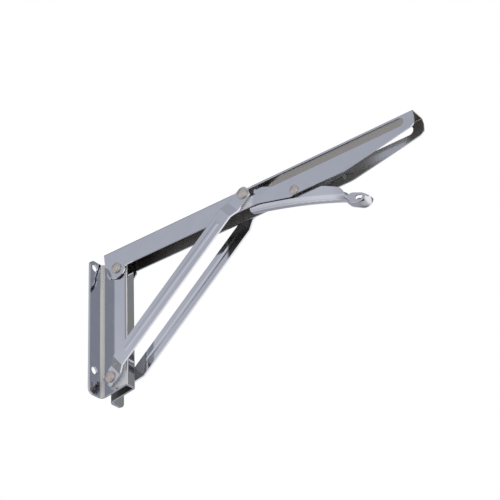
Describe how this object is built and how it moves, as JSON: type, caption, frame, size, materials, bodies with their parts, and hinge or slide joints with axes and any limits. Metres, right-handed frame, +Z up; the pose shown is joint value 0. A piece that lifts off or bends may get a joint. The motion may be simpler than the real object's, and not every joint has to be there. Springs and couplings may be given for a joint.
{
  "type": "folding shelf bracket",
  "caption": "Folding shelf bracket of polished pressed steel: wall plate, slotted arm on a pivot, twin braces and a sprung release lever that locks the arm level.",
  "frame": {"origin": "centre of the four wall screw holes, on the wall face", "axes": "+X away from the wall along the open arm, +Y along the wall, +Z up"},
  "size_m": [0.4074, 0.054, 0.1738],
  "materials": {
    "polished_steel": "mirror-polished stainless steel sheet with bright sheared edges",
    "satin_rivet": "satin nickel-grey rivet heads",
    "plain_steel": "plain turned steel",
    "spring_wire": "drawn spring wire"
  },
  "bodies": {
    "wall": {"wall_plate": "polished_steel", "pivot_rivet": "satin_rivet", "pivot_bush": "plain_steel", "foot_rivet": "satin_rivet", "foot_bush": "plain_steel", "near_foot_spacer": "plain_steel", "far_foot_spacer": "plain_steel", "near_pivot_washer": "plain_steel", "far_pivot_washer": "plain_steel"},
    "arm": {"arm_channel": "polished_steel", "lever_rivet": "satin_rivet", "near_lever_washer": "plain_steel", "far_lever_washer": "plain_steel", "lever_spring": "spring_wire"},
    "braces": {"near_brace": "polished_steel", "far_brace": "polished_steel", "near_brace_rivet": "satin_rivet", "far_brace_rivet": "satin_rivet"},
    "pin": {"near_slot_bush": "plain_steel", "far_slot_bush": "plain_steel"},
    "lever": {"release_lever": "polished_steel"}
  },
  "joints": [
    {"name": "arm_fold", "type": "hinge", "parent": "wall", "child": "arm", "pos_m": [0.025, 0, 0.05775], "axis": [0, 1, 0], "range_deg": [0, 90]},
    {"name": "brace_swing", "type": "hinge", "parent": "wall", "child": "braces", "pos_m": [0.0184, 0, -0.07345], "axis": [0, 1, 0], "range_deg": [0, 123.4]},
    {"name": "pin_slide", "type": "slide", "parent": "arm", "child": "pin", "axis": [1, 0, 0], "range_m": [0, 0.1892]},
    {"name": "lever_squeeze", "type": "hinge", "parent": "arm", "child": "lever", "pos_m": [0.263, 0, 0.05275], "axis": [0, 1, 0], "range_deg": [-18, 0], "stiffness_Nm_per_rad": 0.12, "springref_deg": 34.38}
  ],
  "couplings": [
    {"joint": "brace_swing", "follows": "arm_fold", "ratio": 1.3696},
    {"joint": "pin_slide", "follows": "arm_fold", "m_per_rad": 0.12013}
  ]
}
